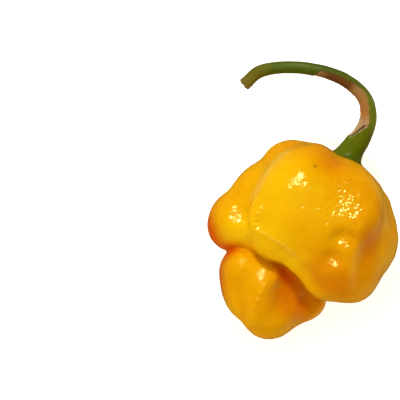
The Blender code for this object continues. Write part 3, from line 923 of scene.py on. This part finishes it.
def pebble_group():
    """Fine waxy pebbles of the skin: a height from two sizes of noise, in metres."""
    inputs = (("Vector", "NodeSocketVector", None), ("Pebble Scale", "NodeSocketFloat", 1200.0),
              ("Pebble Height", "NodeSocketFloat", 0.00003), ("Grain Height", "NodeSocketFloat", 0.000008))
    group, into, out = new_group("pebbled skin", inputs, (("Height", "NodeSocketFloat"),))
    link = group.links.new
    heights = []
    for times, depth in ((1.0, "Pebble Height"), (2.7, "Grain Height")):
        grain = add_node(group, "ShaderNodeTexNoise")
        grain.inputs["Detail"].default_value = 1.0
        grain.inputs["Distortion"].default_value = 0.6
        link(into.outputs["Vector"], grain.inputs["Vector"])
        link(math_node(group, "MULTIPLY", into.outputs["Pebble Scale"], times), grain.inputs["Scale"])
        heights.append(math_node(group, "MULTIPLY", grain.outputs["Fac"], into.outputs[depth]))
    link(math_node(group, "ADD", heights[0], heights[1]), out.inputs["Height"])
    return group


def pod_skin_material(mottle, pebbles):
    """Glossy waxy skin, lemon yellow to deep orange, with painted shade darker in the folds and away from
    the lamp, painted light on lit faces, and painted highlight lines.
    """
    material, tree, shader = new_material("pod skin")
    link = tree.links.new
    place = add_node(tree, "ShaderNodeTexCoord").outputs["Object"]
    patches = use_group(tree, mottle, Scale=110.0, Amount=0.32)
    flecks = use_group(tree, mottle, Scale=520.0, Amount=0.14)
    link(place, patches.inputs["Vector"])
    link(place, flecks.inputs["Vector"])
    # The stored spots paint shade as deeper orange and light as lemon yellow, along with the pod's own
    # uneven ripeness.
    tone = math_node(tree, "ADD", attribute_node(tree, "shade_and_ripeness"), PLAIN_TONE)
    tone = math_node(tree, "ADD", tone, patches.outputs["Mask"])
    tone = math_node(tree, "ADD", tone, flecks.outputs["Mask"])
    # Painted shade: deep folds are drawn darker and more orange.
    tone = math_node(tree, "MULTIPLY_ADD", attribute_node(tree, "fold_shade"), FOLD_SHADE, tone, clamp=True)
    colour = colour_ramp(tree, tone, POD_COLOURS)
    # Painted highlights: pale lines of colour along folds and edges.
    colour = mix_colours(tree, attribute_node(tree, "pale"), colour, PAINTED_HIGHLIGHT_COLOUR)
    near_speck = add_node(tree, "ShaderNodeMapRange")
    near_speck.inputs["From Min"].default_value = SPECK_EDGE[0]
    near_speck.inputs["From Max"].default_value = SPECK_EDGE[1]
    near_speck.inputs["To Min"].default_value = SPECK_SHARE
    near_speck.inputs["To Max"].default_value = 0.0
    link(attribute_node(tree, "speck"), near_speck.inputs["Value"])
    colour = mix_colours(tree, near_speck.outputs["Result"], colour, SPECK_COLOUR)
    link(colour, shader.inputs["Base Color"])
    rough = math_node(tree, "MULTIPLY_ADD", patches.outputs["Mask"], 0.15, 0.1, clamp=True)
    link(rough, shader.inputs["Roughness"])
    height = use_group(tree, pebbles, Pebble_Scale=1050.0, Pebble_Height=0.00015, Grain_Height=0.000004)
    link(place, height.inputs["Vector"])
    bump = add_node(tree, "ShaderNodeBump")
    bump.inputs["Distance"].default_value = 1.0
    link(height.outputs["Height"], bump.inputs["Height"])
    link(bump.outputs["Normal"], shader.inputs["Normal"])
    shader.inputs["Specular IOR Level"].default_value = 0.55
    shader.inputs["Specular Tint"].default_value = (1.0, 0.82, 0.24, 1.0)
    shader.inputs["Subsurface Weight"].default_value = 0.2
    shader.inputs["Subsurface Radius"].default_value = (1.0, 0.35, 0.05)
    shader.inputs["Subsurface Scale"].default_value = 1.2 * MM
    return material


def stalk_material(mottle, pebbles):
    """Green stalk with fine streaks, its dry brown and cream scar, and the pale cut end."""
    material, tree, shader = new_material("stalk")
    link = tree.links.new
    place = add_node(tree, "ShaderNodeAttribute", attribute_name="grain_place").outputs["Vector"]
    streaks = use_group(tree, mottle, Scale=1.1, Stretch=0.16, Amount=0.9)
    blotches = use_group(tree, mottle, Scale=0.55, Stretch=0.6, Amount=0.8)
    crumbs = use_group(tree, mottle, Scale=4.0, Stretch=0.8, Amount=1.2)
    for node in (streaks, blotches, crumbs):
        link(place, node.inputs["Vector"])
    along = attribute_node(tree, "along")
    green = colour_ramp(tree, along, STALK_GREENS)
    shade = math_node(tree, "ADD", streaks.outputs["Mask"], blotches.outputs["Mask"])
    shade = math_node(tree, "MULTIPLY_ADD", shade, 0.9, 1.0)
    green = mix_colours(tree, 1.0, green, shade, "MULTIPLY")
    dry_place = math_node(tree, "MULTIPLY_ADD", crumbs.outputs["Mask"], 0.035, along)
    dry = colour_ramp(tree, dry_place, SCAR_COLOURS)
    dry_shade = math_node(tree, "MULTIPLY_ADD", crumbs.outputs["Mask"], 0.7, 1.0)
    dry = mix_colours(tree, 1.0, dry, dry_shade, "MULTIPLY")
    scar = attribute_node(tree, "scar")
    colour = mix_colours(tree, scar, green, dry)
    colour = mix_colours(tree, attribute_node(tree, "slit"), colour, SLIT_COLOUR)
    colour = mix_colours(tree, attribute_node(tree, "cut_end"), colour, CUT_COLOUR)
    link(colour, shader.inputs["Base Color"])
    link(math_node(tree, "MULTIPLY_ADD", scar, 0.35, 0.36), shader.inputs["Roughness"])
    height = use_group(tree, pebbles, Pebble_Scale=3.0, Pebble_Height=0.00003, Grain_Height=0.000012)
    link(place, height.inputs["Vector"])
    bump = add_node(tree, "ShaderNodeBump")
    bump.inputs["Distance"].default_value = 1.0
    link(height.outputs["Height"], bump.inputs["Height"])
    link(bump.outputs["Normal"], shader.inputs["Normal"])
    shader.inputs["Specular IOR Level"].default_value = 0.2
    shader.inputs["Specular Tint"].default_value = (1.0, 0.92, 0.45, 1.0)
    shader.inputs["Subsurface Weight"].default_value = 0.1
    shader.inputs["Subsurface Radius"].default_value = (0.5, 1.0, 0.2)
    shader.inputs["Subsurface Scale"].default_value = 0.5 * MM
    return material


def make_floor():
    """A plain pale floor."""
    bpy.ops.mesh.primitive_plane_add(size=3.0, location=(0.0, 0.0, 0.0))
    floor = bpy.context.object
    floor.name = "floor"
    material, _, shader = new_material("pale floor")
    shader.inputs["Base Color"].default_value = (0.85, 0.85, 0.85, 1.0)
    shader.inputs["Roughness"].default_value = 0.9
    shader.inputs["Specular IOR Level"].default_value = 0.1
    shader.inputs["Emission Color"].default_value = (1.0, 1.0, 1.0, 1.0)
    shader.inputs["Emission Strength"].default_value = FLOOR_GLOW
    floor.data.materials.append(material)
    floor.visible_glossy = False


def area_light(name, place, target, size, power):
    """A square soft light at a place in metres, aimed at the target."""
    data = bpy.data.lights.new(name, "AREA")
    data.shape = "SQUARE"
    data.size = size
    data.energy = power
    lamp = bpy.data.objects.new(name, data)
    lamp.location = place
    lamp.rotation_euler = (Vector(target) - Vector(place)).to_track_quat("-Z", "Y").to_euler()
    bpy.context.scene.collection.objects.link(lamp)
    return lamp


def make_lights():
    """A lamp from the head of the picture, a soft ceiling, a fill from the bulb's end, and a warm room that
    is paler on one side."""
    pod_middle = Vector((0.0, 0.0, PICTURE_PLANE * MM))
    direction = Vector(LAMP_DIRECTION).normalized()
    area_light("lamp", pod_middle + direction * 1.0, pod_middle, LAMP_SIZE, LAMP_POWER)
    ceiling = area_light("ceiling", CEILING_PLACE, pod_middle, CEILING_SIZE, CEILING_POWER)
    fill = area_light("fill", FILL_PLACE, pod_middle, FILL_SIZE, FILL_POWER)
    ceiling.visible_glossy = False
    fill.visible_glossy = False
    world = bpy.data.worlds.new("room")
    bpy.context.scene.world = world
    world.use_nodes = True
    tree = world.node_tree
    link = tree.links.new
    place = add_node(tree, "ShaderNodeTexCoord")
    toward = add_node(tree, "ShaderNodeVectorMath", operation="DOT_PRODUCT")
    toward.inputs[1].default_value = BRIGHT_SIDE
    link(place.outputs["Generated"], toward.inputs[0])
    colour = colour_ramp(tree, toward.outputs["Value"], ROOM_COLOURS)
    link(colour, tree.nodes["Background"].inputs["Color"])
    tree.nodes["Background"].inputs["Strength"].default_value = ROOM_STRENGTH


def make_camera():
    """The camera straight above, with the pepper right of the picture's middle as in the photograph."""
    data = bpy.data.cameras.new("camera")
    data.sensor_width = SENSOR_WIDTH
    data.lens = SENSOR_WIDTH * CAMERA_HEIGHT / PICTURE_WIDTH
    data.clip_start = 0.01
    camera = bpy.data.objects.new("camera", data)
    camera.location = Vector((*CAMERA_OVER, PICTURE_PLANE + CAMERA_HEIGHT)) * MM
    bpy.context.scene.collection.objects.link(camera)
    bpy.context.scene.camera = camera


make_camera()
make_lights()
make_floor()
mottle = mottle_group()
pebbles = pebble_group()
pod = make_pod(pod_skin_material(mottle, pebbles))
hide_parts("pod")
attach(pod, "root")
stalk = make_stalk(stalk_material(mottle, pebbles))
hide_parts("stem")
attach(stalk, "root")
bpy.context.scene.view_settings.view_transform = "Standard"
